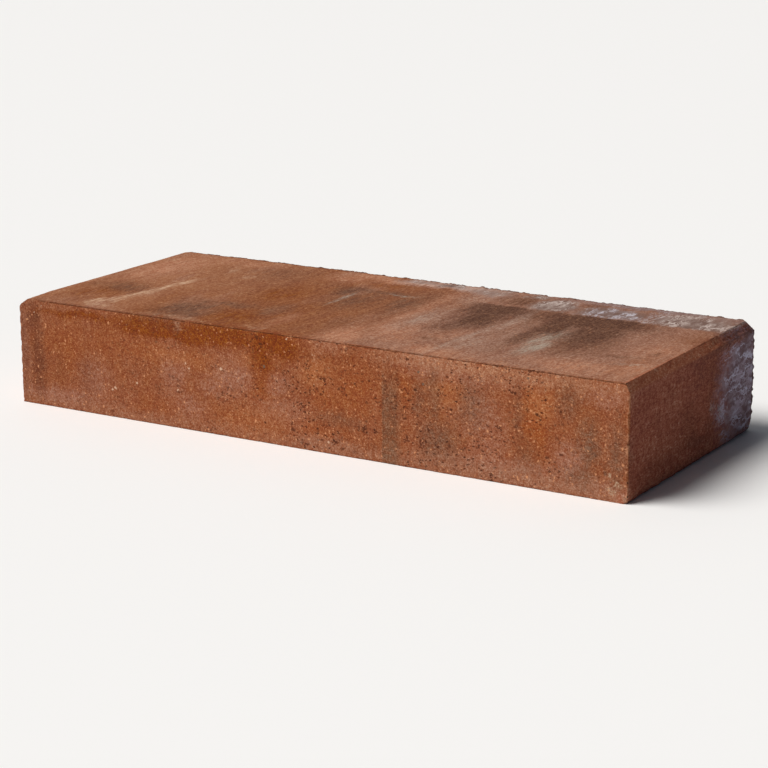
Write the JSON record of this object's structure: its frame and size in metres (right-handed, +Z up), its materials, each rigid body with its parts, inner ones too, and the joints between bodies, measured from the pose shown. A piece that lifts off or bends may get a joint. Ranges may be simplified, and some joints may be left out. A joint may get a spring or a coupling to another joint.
{
  "type": "concrete step block",
  "caption": "Solid concrete block laid as one whole outdoor step: flat tread, plain riser face, chamfered ends and rough rear arrises.",
  "frame": {"origin": "centre of the underside", "axes": "+X along the length of the step, +Y from the riser face to the rear face, +Z up out of the tread"},
  "size_m": [1, 0.41, 0.16],
  "materials": {
    "coloured_concrete": "matt, mottled red-brown, gritty on the riser and finer on the tread"
  },
  "bodies": {
    "root": {"step_block": "coloured_concrete"}
  },
  "joints": []
}
